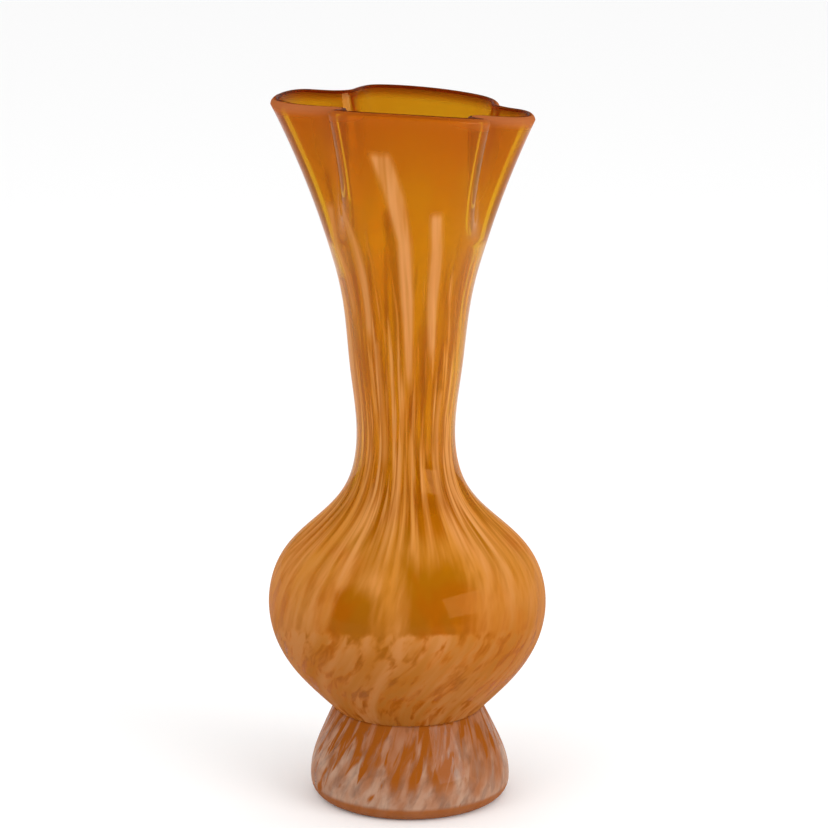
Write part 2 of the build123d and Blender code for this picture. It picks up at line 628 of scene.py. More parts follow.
@dataclass(frozen=True)
class GlassFinish:
    """Fire-polished glass with a slow ripple in its face."""

    name: str
    deep: Colour
    pale: Colour
    gloss: float = 0.35
    glint: Colour = tone(1.0, 1.0, 1.0)
    roughness: float = 0.03
    ior: float = 1.45
    gathers: Grain = Grain(Layout.SPACE, 0.4, 28.0, 2.0)
    gather_edge: Pair = (0.38, 0.66)
    gather_share: float = 0.45
    lip_edge: Pair = (0.200, 0.246)
    lip_share: float = 0.9
    swells: Grain = Grain(Layout.SPACE, 0.35, 45.0, 2.0)
    ripple: float = 0.12
    ripple_depth: float = 0.002

    def tint(self, bench: Bench) -> Signal:
        """Colour of the glass, deeper at the lip and where it gathered.

        Args:
            bench: the material being built.

        Returns:
            The colour.
        """
        cloud = self.gathers.read(bench).step(*self.gather_edge)
        lip = bench.along("Z").step(*self.lip_edge)
        share = cloud * self.gather_share + lip * self.lip_share
        return bench.blend(share.at_most(1.0), self.pale, self.deep)

    def surface(self, bench: Bench) -> Signal:
        """The glass shader.

        Args:
            bench: the material being built.

        Returns:
            The shader.
        """
        swell = {
            "Height": self.swells.read(bench),
            "Strength": self.ripple,
            "Distance": self.ripple_depth,
        }
        inputs = {
            "Base Color": self.tint(bench),
            "Roughness": self.roughness,
            "IOR": self.ior,
            "Transmission Weight": 1.0,
            "Specular IOR Level": self.gloss,
            "Specular Tint": self.glint,
            "Normal": bench.add("ShaderNodeBump", None, swell),
        }
        return bench.add("ShaderNodeBsdfPrincipled", None, inputs)

    def build(self) -> bpy.types.Material:
        """The finished material."""
        bench = Bench(bpy.data.materials.new(self.name))
        return bench.finish(self.surface(bench))


def frit_shader(bench: Bench, colour: Signal, glow: float, gloss: float) -> Signal:
    """Opaque glass that lets light bleed through it.

    Args:
        bench: the material being built.
        colour: its colour.
        glow: share of the light that comes through from behind.
        gloss: specular level.

    Returns:
        The shader.
    """
    body = {"Base Color": colour, "Roughness": 0.22, "Specular IOR Level": gloss}
    solid = bench.add("ShaderNodeBsdfPrincipled", None, body)
    through = bench.add("ShaderNodeBsdfTranslucent", None, {"Color": colour})
    return bench.mix(glow, solid, through)


@dataclass(frozen=True)
class CasingFinish:
    """Outside of the vase: glass that shows the amber and the frit under it."""

    glass: GlassFinish
    pattern: FritPattern | FootPattern
    milk: float
    cover: float
    glow: float = 0.25
    cloudiest: float = 0.94

    def build(self) -> bpy.types.Material:
        """The finished material.

        Returns:
            The material.
        """
        bench = Bench(bpy.data.materials.new(self.glass.name))
        body = frit_shader(bench, self.pattern.seen(bench), self.glow, 0.0)
        share = self.pattern.mask(bench) * self.cover + self.pattern.milk(bench) + self.milk
        clear = self.glass.surface(bench)
        return bench.finish(bench.mix(share.at_most(self.cloudiest), clear, body))


@dataclass(frozen=True)
class FritFinish:
    """The frit itself: opaque glass with nothing between it."""

    name: str
    pattern: FritPattern | FootPattern
    glow: float
    gloss: float = 0.2

    def build(self) -> bpy.types.Material:
        """The finished material.

        Returns:
            The material.
        """
        bench = Bench(bpy.data.materials.new(self.name))
        frit = frit_shader(bench, self.pattern.colour(bench), self.glow, self.gloss)
        gap = bench.add("ShaderNodeBsdfTransparent")
        return bench.finish(bench.mix(self.pattern.mask(bench), gap, frit))


@dataclass(frozen=True)
class FusedFinish:
    """A face fused to the next layer, where nothing is seen."""

    name: str

    def build(self) -> bpy.types.Material:
        """The finished material.

        Returns:
            The material.
        """
        bench = Bench(bpy.data.materials.new(self.name))
        inputs = {"Base Color": grey(1.0), "Alpha": 0.0, "Roughness": 1.0}
        return bench.finish(bench.add("ShaderNodeBsdfPrincipled", None, inputs))


# ---------------------------------------------------------------- mesh work


@dataclass
class Skin:
    """A grid of points in millimetres, stations by azimuths, and what its finish reads."""

    points: Grid
    flow: Grid
    slant: Grid
    drawn: Grid
    clearing: Grid
    fold: Grid

    def grids(self) -> dict[str, Grid]:
        """All its grids, by name."""
        return {item.name: getattr(self, item.name) for item in fields(self)}

    def part(self, rows: slice) -> "Skin":
        """Some of the stations."""
        return Skin(*(grid[rows] for grid in self.grids().values()))

    def flipped(self) -> "Skin":
        """The stations in the other order."""
        return self.part(slice(None, None, -1))


def joined(skins: list[Skin]) -> Skin:
    """Stack skins station by station."""
    columns = zip(*(skin.grids().values() for skin in skins))
    return Skin(*(np.concatenate(column) for column in columns))


def grid_mesh(name: str, skin: Skin, slots: list[Face], poles: bool) -> bpy.types.Object:
    """Make a closed mesh from stations that run round a closed outline.

    Args:
        name: the piece's name.
        skin: its stations, in order along the outline.
        slots: the kind of face in each band between two stations.
        poles: whether the first and last stations shrink to points on the axis. If not, the
            last station joins the first.

    Returns:
        The object, in the scene.
    """
    stations, turns = skin.points.shape[:2]
    faces: list[tuple[int, ...]] = []
    bands: list[int] = []
    for row in range(stations - 1 if poles else stations):
        here = row * turns
        there = ((row + 1) % stations) * turns
        for turn in range(turns):
            after = (turn + 1) % turns
            faces.append((here + turn, here + after, there + after, there + turn))
        bands.extend([slots[row].value] * turns)
    mesh = bpy.data.meshes.new(name)
    mesh.from_pydata((skin.points * MM).reshape(-1, 3).tolist(), [], faces)
    mesh.polygons.foreach_set("material_index", bands)
    for key, grid in skin.grids().items():
        if key != "points":
            store(mesh, key, grid)
    if poles:
        close_poles(mesh, turns)
    mesh.shade_smooth()
    piece = bpy.data.objects.new(name, mesh)
    bpy.context.scene.collection.objects.link(piece)
    return piece


def store(mesh: bpy.types.Mesh, name: str, grid: Grid) -> None:
    """Write a number or a vector for each vertex.

    Args:
        mesh: the mesh to write on.
        name: the attribute's name.
        grid: the values, stations by azimuths.
    """
    kind, key = ("FLOAT_VECTOR", "vector") if grid.ndim == 3 else ("FLOAT", "value")
    layer = mesh.attributes.new(name, kind, "POINT")
    layer.data.foreach_set(key, np.ascontiguousarray(grid, dtype=np.float32).ravel())


def close_poles(mesh: bpy.types.Mesh, turns: int) -> None:
    """Merge the first and the last ring of a mesh to one vertex each.

    Args:
        mesh: the mesh.
        turns: vertices in a ring.
    """
    work = bmesh.new()
    work.from_mesh(mesh)
    work.verts.ensure_lookup_table()
    last = len(work.verts)
    first_ring = [work.verts[index] for index in range(turns)]
    last_ring = [work.verts[index] for index in range(last - turns, last)]
    for ring in (first_ring, last_ring):
        bmesh.ops.pointmerge(work, verts=ring, merge_co=ring[0].co.copy())
    work.to_mesh(mesh)
    work.free()


def fused_offset(points: Grid, depth: float) -> Grid:
    """Move a skin inwards along its own normals.

    Args:
        points: the outer skin, from the axis outwards and up.
        depth: how far, in millimetres.

    Returns:
        The moved points.
    """
    along = np.gradient(points, axis=0)
    around = np.roll(points, -1, axis=1) - np.roll(points, 1, axis=1)
    normal = np.cross(around, along)
    length = np.linalg.norm(normal, axis=2, keepdims=True)
    normal = normal / np.maximum(length, 1e-12)
    normal[0] = (0.0, 0.0, -1.0)
    return points - depth * normal


def smooth_curve(
    knots: tuple[Pair, ...], leave: Pair, arrive: Pair, count: int
) -> Grid:
    """The smoothest cubic through knots, evenly spaced along its length.

    Args:
        knots: the points it passes through.
        leave: its direction at the first knot.
        arrive: its direction at the last knot.
        count: how many points to return.

    Returns:
        The points, one row each.
    """
    points = np.array(knots, dtype=float)
    chord = np.linalg.norm(np.diff(points, axis=0), axis=1)
    size = len(points)
    system = np.eye(size)
    target = np.zeros((size, 2))
    target[0] = np.array(leave) / np.linalg.norm(leave)
    target[-1] = np.array(arrive) / np.linalg.norm(arrive)
    for row in range(1, size - 1):
        before, after = chord[row - 1], chord[row]
        system[row, row - 1 : row + 2] = (after, 2 * (before + after), before)
        fall = after * (points[row] - points[row - 1]) / before
        climb = before * (points[row + 1] - points[row]) / after
        target[row] = 3 * (fall + climb)
    run = np.linalg.solve(system, target)
    share = np.linspace(0, 1, SPAN_STEPS, endpoint=False)[:, None]
    square, cube = share**2, share**3
    spans = []
    for row in range(size - 1):
        start = (2 * cube - 3 * square + 1) * points[row] + (3 * square - 2 * cube) * points[row + 1]
        ease_out = (cube - 2 * square + share) * run[row]
        ease_in = (cube - square) * run[row + 1]
        spans.append(start + chord[row] * (ease_out + ease_in))
    dense = np.vstack(spans + [points[-1:]])
    steps = np.linalg.norm(np.diff(dense, axis=0), axis=1)
    travel = np.concatenate([[0.0], np.cumsum(steps)])
    wanted = np.linspace(0, travel[-1], count)
    return np.stack([np.interp(wanted, travel, dense[:, axis]) for axis in range(2)], axis=1)


def eased(value: Grid) -> Grid:
    """Smooth step of a value already scaled to 0 and 1."""
    held = np.clip(value, 0.0, 1.0)
    return held * held * (3 - 2 * held)


def unrolled(turn: Grid, height: Grid) -> Grid:
    """Pattern place of each point, as if the wall were a plain tube.

    Args:
        turn: azimuth in the pattern, in degrees.
        height: millimetres.

    Returns:
        The places, in metres.
    """
    x = TUBE_RADIUS * np.cos(np.radians(turn))
    y = TUBE_RADIUS * np.sin(np.radians(turn))
    return np.stack([x, y, height], axis=2) * MM


def turned_from(azimuth: Grid, centre: float) -> Grid:
    """Signed angle from a centre, in degrees."""
    return (azimuth - centre + 180.0) % 360.0 - 180.0


# ---------------------------------------------------------------- the vase


@dataclass(frozen=True)
class DrawnStreak:
    """One streak of frit that the maker drew out, by its stations down the wall."""

    stations: list[tuple[float, float, float]]  # azimuth, height in mm, half width in degrees
    strength: float = 1.0
    soft: float = 2.4  # degrees over which a side fades, to each side of its edge
    tail: Pair = (4.0, 14.0)  # mm that the low end reaches past its last station, and its fade
    head: Pair = (2.0, 4.0)

    def cover(self, azimuth: Grid, height: Grid) -> Grid:
        """How much of it covers each point.

        Args:
            azimuth: degrees.
            height: millimetres.

        Returns:
            Values from 0 to its strength.
        """
        table = np.array(sorted(self.stations, key=lambda station: station[1]))
        centre = np.interp(height, table[:, 1], table[:, 0])
        half = np.interp(height, table[:, 1], table[:, 2])
        away = np.abs(turned_from(azimuth, centre))
        side = eased((half + self.soft - away) / (2 * self.soft))
        low = eased((height - table[0, 1] + self.tail[0]) / self.tail[1])
        top = eased((table[-1, 1] + self.head[0] - height) / self.head[1])
        return self.strength * side * low * top


@dataclass(frozen=True)
class Clearing:
    """A patch where the frit thins out and the amber shows."""

    azimuth: float
    height: float
    half_angle: float
    half_height: float
    reach: float = 1.5

    def cover(self, azimuth: Grid, height: Grid) -> Grid:
        """How clear each point is.

        Args:
            azimuth: degrees.
            height: millimetres.

        Returns:
            Values from 0 to 1.
        """
        across = np.abs(turned_from(azimuth, self.azimuth)) / self.half_angle
        along = np.abs(height - self.height) / self.half_height
        return eased(self.reach - np.maximum(across, along))


def strongest(marks: tuple[DrawnStreak | Clearing, ...], azimuth: Grid, height: Grid) -> Grid:
    """The strongest cover of any mark at each point."""
    return np.maximum.reduce([mark.cover(azimuth, height) for mark in marks])


def wander(height: Grid) -> Grid:
    """How far the axis strays sideways at a height, in millimetres."""
    return sum(size * np.exp(-(((height - middle) / span) ** 2)) for size, middle, span in SWAYS)


@dataclass
class VaseBody:
    """The blown body: lining, frit and casing, from the bowl's bottom to the pinched lip."""

    turns: int = 256
    outline: tuple[Pair, ...] = (
        WAIST,
        (33.8, 40.0),
        (44.1, 53.0),
        (48.85, 70.0),
        (44.4, 87.0),
        (32.1, 100.0),
        (21.1, 113.0),
        (17.2, 131.0),
        (19.5, 155.0),
        (22.4, 180.0),
        (25.2, 192.0),
    )
    waist_run: Pair = (1.0, 1.0)
    underside: float = corner_of("clear_casing", 0).z
    floor_curve: float = 2.2
    floor_hole: float = 0.002  # share of the radius where the first station lies
    floor_rise: float = 1.875
    flare_slope: float = 0.29
    flare_curve: float = 0.002
    squeeze_start: float = 200.0
    pinches: tuple[tuple[float, float, float], ...] = (
        (29.0, 0.42, 12.0),
        (127.0, 0.50, 13.0),
        (212.0, 0.85, 12.0),
        (331.0, 0.92, 11.0),
    )  # azimuth, share taken and half width in degrees
    flats: tuple[tuple[float, float, float], ...] = ((271.0, 0.55, 50.0), (0.0, 0.02, 25.0))
    lip_height: float = 246.0
    lip_drop: float = 0.061
    lip_lift: float = 0.8
    lip_round: float = 1.3
    lip_rows: int = 5
    casing_depth: float = 1.6
    frit_depth: float = 2.0
    wall_depth: float = 3.2
    frit_top: float = corner_of("frit_layer", 1).z
    frit_past: float = 8.0  # mm of wall above the frit's top that its mesh still covers
    casing_rows: tuple[Rows, Rows] = ((14, 150, 56), (6, 50, 20))  # floor, wall and flare
    lining_rows: tuple[Rows, Rows] = ((8, 60, 30), (12, 110, 50))
    frit_rows: Rows = (10, 120, 50)
    oval: tuple[float, float, float, float] = (0.004, 40.0, 35.0, 30.0)  # share, turn, from, over
    twist: tuple[float, float, float] = (26.0, 75.0, 45.0)  # degrees, from a height, over mm
    weave: Pair = (5.0, 30.0)  # degrees, and mm of height in one radian
    slant: Pair = (0.35, 70.0)  # degrees per mm, from a height
    crease_share: float = 0.8
    crease_width: float = 0.65
    crease_rise: Pair = (206.0, 34.0)
    edge_fall: Pair = (5.0, 3.6)
    edge_plain: float = 0.85
    plain_lip: float = 44.0  # half angle of the front lobe, whose lip is the thinnest
    streaks: tuple[DrawnStreak, ...] = (
        DrawnStreak(
            [(254, 234, 6.0), (262, 219, 6.4), (268, 203, 5.0), (270, 182, 5.6), (274, 148, 3.0)]
        ),
        DrawnStreak([(289, 213, 4.4), (292, 193, 5.4), (293, 180, 5.4), (296, 158, 3.4)]),
        DrawnStreak([(221, 216, 3.6), (231, 201, 4.2), (232, 191, 4.6), (233, 164, 3.8)], 0.95),
        DrawnStreak([(205, 214, 3.0), (208, 203, 3.8), (214, 190, 4.2), (216, 170, 3.6)], 0.95),
        DrawnStreak([(197, 188, 6.0), (197, 160, 9.0), (200, 134, 8.0)], 0.9),
        DrawnStreak([(240, 168, 3.4), (244, 137, 4.0), (246, 118, 3.4)], 0.75),
        DrawnStreak([(310, 150, 3.4), (308, 128, 4.0), (300, 104, 4.0)], 0.75),
        DrawnStreak([(60, 186, 5.0), (66, 168, 5.0), (70, 140, 4.0)]),
        DrawnStreak([(105, 205, 4.0), (101, 180, 5.0), (98, 140, 4.0)], 0.9),
        DrawnStreak([(150, 220, 4.0), (156, 196, 5.0), (158, 150, 4.0)], 0.9),
        DrawnStreak([(8, 200, 4.0), (10, 180, 4.6), (12, 146, 4.0)], 0.85),
    )
    clearings: tuple[Clearing, ...] = (
        Clearing(248.0, 76.0, 10.5, 9.0),
        Clearing(283.0, 80.0, 13.0, 13.0),
        Clearing(70.0, 82.0, 14.0, 11.0),
        Clearing(150.0, 86.0, 12.0, 12.0),
    )

    def taken(self, azimuth: Grid) -> Grid:
        """Share of the flare that the pinches take away.

        Args:
            azimuth: degrees.

        Returns:
            The share at each azimuth.
        """
        share = np.zeros_like(azimuth)
        for centre, strength, width in self.pinches + self.flats:
            share += strength * np.exp(-((turned_from(azimuth, centre) / width) ** 2))
        return share

    def unpinched(self, rise: Grid | float) -> Grid | float:
        """Radius of the flare without its pinches, at a rise above its start."""
        return self.outline[-1][0] + self.flare_slope * rise + self.flare_curve * rise**2

    def flare(self, height: Grid, azimuth: Grid) -> Grid:
        """Radius of the flare, pinches included, in millimetres.

        Args:
            height: millimetres.
            azimuth: degrees.

        Returns:
            The radius at each point.
        """
        start = self.outline[-1][1]
        radius = self.unpinched(height - start)
        free = self.unpinched(self.squeeze_start - start)
        return radius - np.maximum(0.0, radius - free) * self.taken(azimuth)

    def lip(self, azimuth: Grid) -> Grid:
        """Height of the lip's crest, which falls to one side and lifts front and back.

        Args:
            azimuth: degrees.

        Returns:
            The height at each azimuth, in millimetres.
        """
        reach = self.flare(np.full_like(azimuth, self.lip_height), azimuth)
        lean = -self.lip_drop * reach * np.cos(np.radians(azimuth))
        return self.lip_height + lean - self.lip_lift * np.cos(np.radians(2 * azimuth))

    def skin(self, rows: Rows) -> Skin:
        """Outer face of the body, from the axis below the bowl up to the lip's edge.

        Args:
            rows: stations under the bowl, up to the flare, and in the flare.

        Returns:
            The skin.
        """
        azimuth = np.arange(self.turns) * 360.0 / self.turns
        share = np.linspace(self.floor_hole, 1, rows[0], endpoint=False)
        waist_radius, waist_height = self.outline[0]
        floor_height = self.underside + (waist_height - self.underside) * share**self.floor_curve
        wall = smooth_curve(self.outline, self.waist_run, (self.flare_slope, 1.0), rows[1])
        radius = np.concatenate([waist_radius * share, wall[:, 0]])[:, None] + 0 * azimuth
        height = np.concatenate([floor_height, wall[:, 1]])[:, None] + 0 * azimuth
        start = self.outline[-1][1]
        rise = np.linspace(0, 1, rows[2] + 1)[1:, None]
        edge = self.lip(azimuth) - self.lip_round
        flare_height = start + rise * (edge[None, :] - start)
        flare_radius = self.flare(flare_height, azimuth[None, :] + 0 * flare_height)
        radius = np.vstack([radius, flare_radius])
        height = np.vstack([height, flare_height])
        return self.dressed(radius, height, azimuth[None, :] + 0 * height)

    def dressed(self, radius: Grid, height: Grid, angle: Grid) -> Skin:
        """Points and pattern values from radius, height and azimuth.

        Args:
            radius: millimetres.
            height: millimetres.
            angle: degrees.

        Returns:
            The skin.
        """
        share, turn, start, over = self.oval
        swell = 1.0 + share * np.sin(np.radians(2 * angle + turn)) * eased((height - start) / over)
        x = radius * swell * np.cos(np.radians(angle)) + wander(height)
        y = radius * swell * np.sin(np.radians(angle))
        most, start, over = self.twist
        twist = angle + most * eased((start - height) / over)
        twist = twist + self.weave[0] * np.sin(height / self.weave[1])
        return Skin(
            np.stack([x, y, height], axis=2),
            unrolled(twist, height),
            unrolled(angle - self.slant[0] * (height - self.slant[1]), height),
            strongest(self.streaks, angle, height),
            strongest(self.clearings, angle, height),
            self.folds(height, angle),
        )

    def folds(self, height: Grid, angle: Grid) -> Grid:
        """How much the glass is thickened and dulled, in the pinches and along the lip.

        Args:
            height: millimetres.
            angle: degrees.

        Returns:
            Values from 0 to 1.
        """
        crease = np.zeros_like(angle)
        for centre, strength, width in self.pinches:
            away = turned_from(angle, centre) / (width * self.crease_width)
            crease = np.maximum(crease, strength * np.exp(-(away**2)))
        crease = crease * eased((height - self.crease_rise[0]) / self.crease_rise[1])
        plain = np.exp(-((turned_from(angle, FRONT) / self.plain_lip) ** 4))
        edge = eased((height - self.lip(angle) + self.edge_fall[0]) / self.edge_fall[1])
        return np.maximum(crease * self.crease_share, edge * (1 - self.edge_plain * plain))

    def moved(self, skin: Skin, depth: float) -> Skin:
        """A skin moved in from the outer face.

        Args:
            skin: the outer face.
            depth: how far in, in millimetres.

        Returns:
            The moved skin, with the same pattern values.
        """
        points = fused_offset(skin.points, depth)
        points[0, :, :2] = points[0, :, :2].mean(axis=0)
        radius = np.hypot(skin.points[..., 0], skin.points[..., 1])
        waist_radius, waist_height = self.outline[0]
        settle = np.clip(1 - radius / waist_radius, 0, 1) ** 0.5
        lift = (self.floor_rise * depth - depth) * settle
        under = skin.points[..., 2] < waist_height
        points[..., 2] = np.where(under, points[..., 2] + lift, points[..., 2])
        return replace(skin, points=points)

    def over_lip(self, skin: Skin, depth_from: float, depth_to: float) -> Skin:
        """Stations over the rounded lip, between two depths.

        Args:
            skin: the outer face.
            depth_from: depth of the first station.
            depth_to: depth of the last station.

        Returns:
            The stations between, without the ends.
        """
        crest = self.casing_depth
        stations = []
        for depth in np.linspace(depth_from, depth_to, self.lip_rows + 2)[1:-1]:
            ring = self.moved(skin, depth).part(slice(-1, None))
            out = (depth - crest) / (self.wall_depth - crest if depth > crest else crest)
            ring.points[..., 2] += self.lip_round * math.sqrt(max(0.0, 1 - out * out))
            stations.append(ring)
        return joined(stations)

    def casing(self) -> bpy.types.Object:
        """The clear outside of the body.

        Returns:
            The piece.
        """
        outer_rows, inner_rows = self.casing_rows
        outer = self.skin(outer_rows)
        inner = self.moved(self.skin(inner_rows), self.casing_depth - HAIR)
        lip = self.over_lip(outer, 0.0, self.casing_depth)
        slots = [Face.OPEN] * (len(outer.points) + self.lip_rows)
        slots += [Face.FUSED] * (len(inner.points) - 1)
        return grid_mesh("glass_casing", joined([outer, lip, inner.flipped()]), slots, poles=True)

    def lining(self) -> bpy.types.Object:
        """The amber bubble inside.

        Returns:
            The piece.
        """
        outer_rows, inner_rows = self.lining_rows
        outer = self.moved(self.skin(outer_rows), self.frit_depth + HAIR)
        fine = self.skin(inner_rows)
        inner = self.moved(fine, self.wall_depth)
        lip = self.over_lip(fine, self.frit_depth, self.wall_depth)
        slots = [Face.FUSED] * (len(outer.points) - 1)
        slots += [Face.OPEN] * (self.lip_rows + len(inner.points))
        return grid_mesh("glass_lining", joined([outer, lip, inner.flipped()]), slots, poles=True)

    def frit(self) -> bpy.types.Object:
        """The thin layer of frit between them, up to where it feathers out.

        Returns:
            The piece.
        """
        base = self.skin(self.frit_rows)
        count = int(np.searchsorted(base.points[:, 0, 2], self.frit_top + self.frit_past))
        base = base.part(slice(0, count))
        outer = self.moved(base, self.casing_depth)
        inner = self.moved(base, self.frit_depth)
        slots = [Face.OPEN] * (count - 1) + [Face.FUSED] * count
        return grid_mesh("frit_streaks", joined([outer, inner.flipped()]), slots, poles=True)

    def build(self) -> dict[str, bpy.types.Object]:
        """Make and dress the three layers.

        Returns:
            Each piece under the node it stands for.
        """
        clear = GlassFinish(
            "casing_glass",
            deep=tone(0.68, 0.36, 0.010),
            pale=tone(0.76, 0.47, 0.012),
            gloss=0.12,
            glint=AMBER_GLINT,
        )
        amber = GlassFinish(
            "amber_glass",
            deep=tone(0.62, 0.23, 0.004),
            pale=tone(0.76, 0.42, 0.012),
            glint=AMBER_GLINT,
        )
        pattern = FritPattern()
        finishes = [
            CasingFinish(clear, pattern, milk=0.31, cover=0.46),
            amber,
            FritFinish("frit_glass", pattern, glow=0.5),
        ]
        pieces = [self.casing(), self.lining(), self.frit()]
        dress(pieces, finishes, FusedFinish("fused_face"))
        return dict(zip(("clear_casing", "amber_lining", "frit_layer"), pieces))


def dress(pieces: list[bpy.types.Object], finishes: list[Any], fused: FusedFinish) -> None:
    """Give each piece its finish, and all of them the one for fused faces.

    Args:
        pieces: the pieces.
        finishes: the finish of each piece's open faces.
        fused: the finish of their fused faces.
    """
    shared = fused.build()
    for piece, finish in zip(pieces, finishes):
        piece.data.materials.append(finish.build())
        piece.data.materials.append(shared)


@dataclass
class VaseFoot:
    """The hollow blown foot: lining, frit and casing with its rolled rim."""

    turns: int = 256
    outline: tuple[Pair, ...] = ((35.5, 6.5), (34.9, 12.0), (31.25, 22.0), WAIST)
    rim_run: Pair = (0.0, 1.0)
    waist_run: Pair = (-0.5, 1.0)
    ring_outer: float = 30.0
    ring_inner: float = 28.2
    outer_bulge: float = 0.9
    inner_bulge: float = 1.0
    rim_rows: int = 7
    casing_rows: tuple[int, int] = (40, 20)
    layer_rows: int = 40
    casing_depth: float = 1.8
    frit_depth: float = 2.2
    wall_depth: float = 3.2
    twist: Pair = (26.0, 0.6)  # degrees, and degrees per mm of height
    strokes: tuple[DrawnStreak, ...] = (
        DrawnStreak([(249, 36, 6.0), (246, 24, 8.0), (248, 13, 5.0)]),
        DrawnStreak([(268, 36, 9.0), (266, 18, 10.0), (268, 6, 6.0)]),
        DrawnStreak([(285, 36, 9.0), (288, 20, 9.0), (292, 7, 6.0)]),
        DrawnStreak([(318, 36, 26.0), (322, 24, 26.0), (324, 12, 20.0), (322, 5, 10.0)], 0.7),
        DrawnStreak([(40, 36, 9.0), (44, 22, 9.0), (40, 8, 6.0)]),
        DrawnStreak([(96, 36, 9.0), (92, 20, 11.0), (95, 9, 6.0)]),
        DrawnStreak([(150, 36, 12.0), (152, 24, 11.0), (150, 12, 8.0)], 0.8),
    )

    def ring(self, outline: Grid) -> Skin:
        """A skin from a half outline.

        Args:
            outline: radii and heights.

        Returns:
            The skin.
        """
        angle = np.arange(self.turns)[None, :] * 360.0 / self.turns + 0 * outline[:, :1]
        tall = outline[:, 1:] + 0 * angle
        x = outline[:, :1] * np.cos(np.radians(angle)) + wander(tall)
        y = outline[:, :1] * np.sin(np.radians(angle))
        flow = unrolled(angle + self.twist[0] - self.twist[1] * tall, tall)
        drawn = strongest(self.strokes, angle, tall)
        return Skin(np.stack([x, y, tall], axis=2), flow, flow, drawn, 0 * angle, 0 * angle)

    def wall(self, depth: float, rows: int) -> Grid:
        """Half outline of a layer boundary, from the rim up.

        Args:
            depth: millimetres in from the outer face.
            rows: how many points.

        Returns:
            Radii and heights.
        """
        curve = smooth_curve(self.outline, self.rim_run, self.waist_run, rows)
        run = np.gradient(curve, axis=0)
        run = run / np.linalg.norm(run, axis=1, keepdims=True)
        return curve + depth * np.stack([-run[:, 1], run[:, 0]], axis=1)

    def rim(self, start: Pair, end: Grid, bulge: float) -> Grid:
        """A rounded quarter between the standing ring and a wall face.

        Args:
            start: radius and height on the ring.
            end: radius and height on the wall.
            bulge: how square the quarter is.

        Returns:
            Radii and heights, ends left out.
        """
        turn = np.linspace(0, math.pi / 2, self.rim_rows + 2)[1:-1]
        radius = start[0] + (end[0] - start[0]) * np.sin(turn) ** bulge
        height = start[1] + (end[1] - start[1]) * (1 - np.cos(turn) ** bulge)
        return np.stack([radius, height], axis=1)

    def casing(self) -> bpy.types.Object:
        """Outside of the foot and its whole rim.

        Returns:
            The piece.
        """
        outer = self.wall(0.0, self.casing_rows[0])
        inner = self.wall(self.casing_depth - HAIR, self.casing_rows[1])
        core = self.wall(self.wall_depth, 2)[:1]
        stand, hollow = (self.ring_outer, 0.0), (self.ring_inner, 0.0)
        outer_rim = self.rim(stand, outer[0], self.outer_bulge)
        inner_rim = self.rim(hollow, core[0], self.inner_bulge)
        outline = [[stand], outer_rim, outer, inner[::-1], core, inner_rim[::-1], [hollow]]
        slots = [Face.OPEN] * (len(outer_rim) + len(outer))
        slots += [Face.FUSED] * (len(inner) + 1)
        slots += [Face.OPEN] * (len(inner_rim) + 2)
        return grid_mesh("foot_glass", self.ring(np.vstack(outline)), slots, poles=False)

    def layer(
        self, name: str, outer_depth: float, inner_depth: float, faces: list[Face]
    ) -> bpy.types.Object:
        """A layer of the foot between two depths.

        Args:
            name: the piece's name.
            outer_depth: depth of its outer face.
            inner_depth: depth of its inner face.
            faces: the kinds of its outer and its inner face.

        Returns:
            The piece.
        """
        outer = self.wall(outer_depth, self.layer_rows)
        inner = self.wall(inner_depth, self.layer_rows)
        slots = []
        for face in faces:
            slots += [face] * (self.layer_rows - 1) + [Face.FUSED]
        return grid_mesh(name, self.ring(np.vstack([outer, inner[::-1]])), slots, poles=False)

    def build(self) -> dict[str, bpy.types.Object]:
        """Make and dress the three layers.

        Returns:
            Each piece under the node it stands for.
        """
        clear = GlassFinish(
            "foot_casing_glass",
            deep=tone(0.78, 0.62, 0.50),
            pale=tone(0.86, 0.74, 0.64),
            gloss=0.25,
        )
        pattern = FootPattern()
        finishes = [
            CasingFinish(clear, pattern, milk=0.48, cover=0.38),
            FritFinish("foot_frit_glass", pattern, glow=0.45),
            GlassFinish(
                "foot_lining_glass", deep=tone(0.80, 0.52, 0.30), pale=tone(0.88, 0.68, 0.50)
            ),
        ]
        frit_faces = [Face.OPEN, Face.FUSED]
        under = self.frit_depth + HAIR
        pieces = [
            self.casing(),
            self.layer("foot_streaks", self.casing_depth, self.frit_depth, frit_faces),
            self.layer("foot_inner_glass", under, self.wall_depth, frit_faces[::-1]),
        ]
        dress(pieces, finishes, FusedFinish("foot_fused_face"))
        return dict(zip(("foot_casing", "foot_frit", "foot_lining"), pieces))


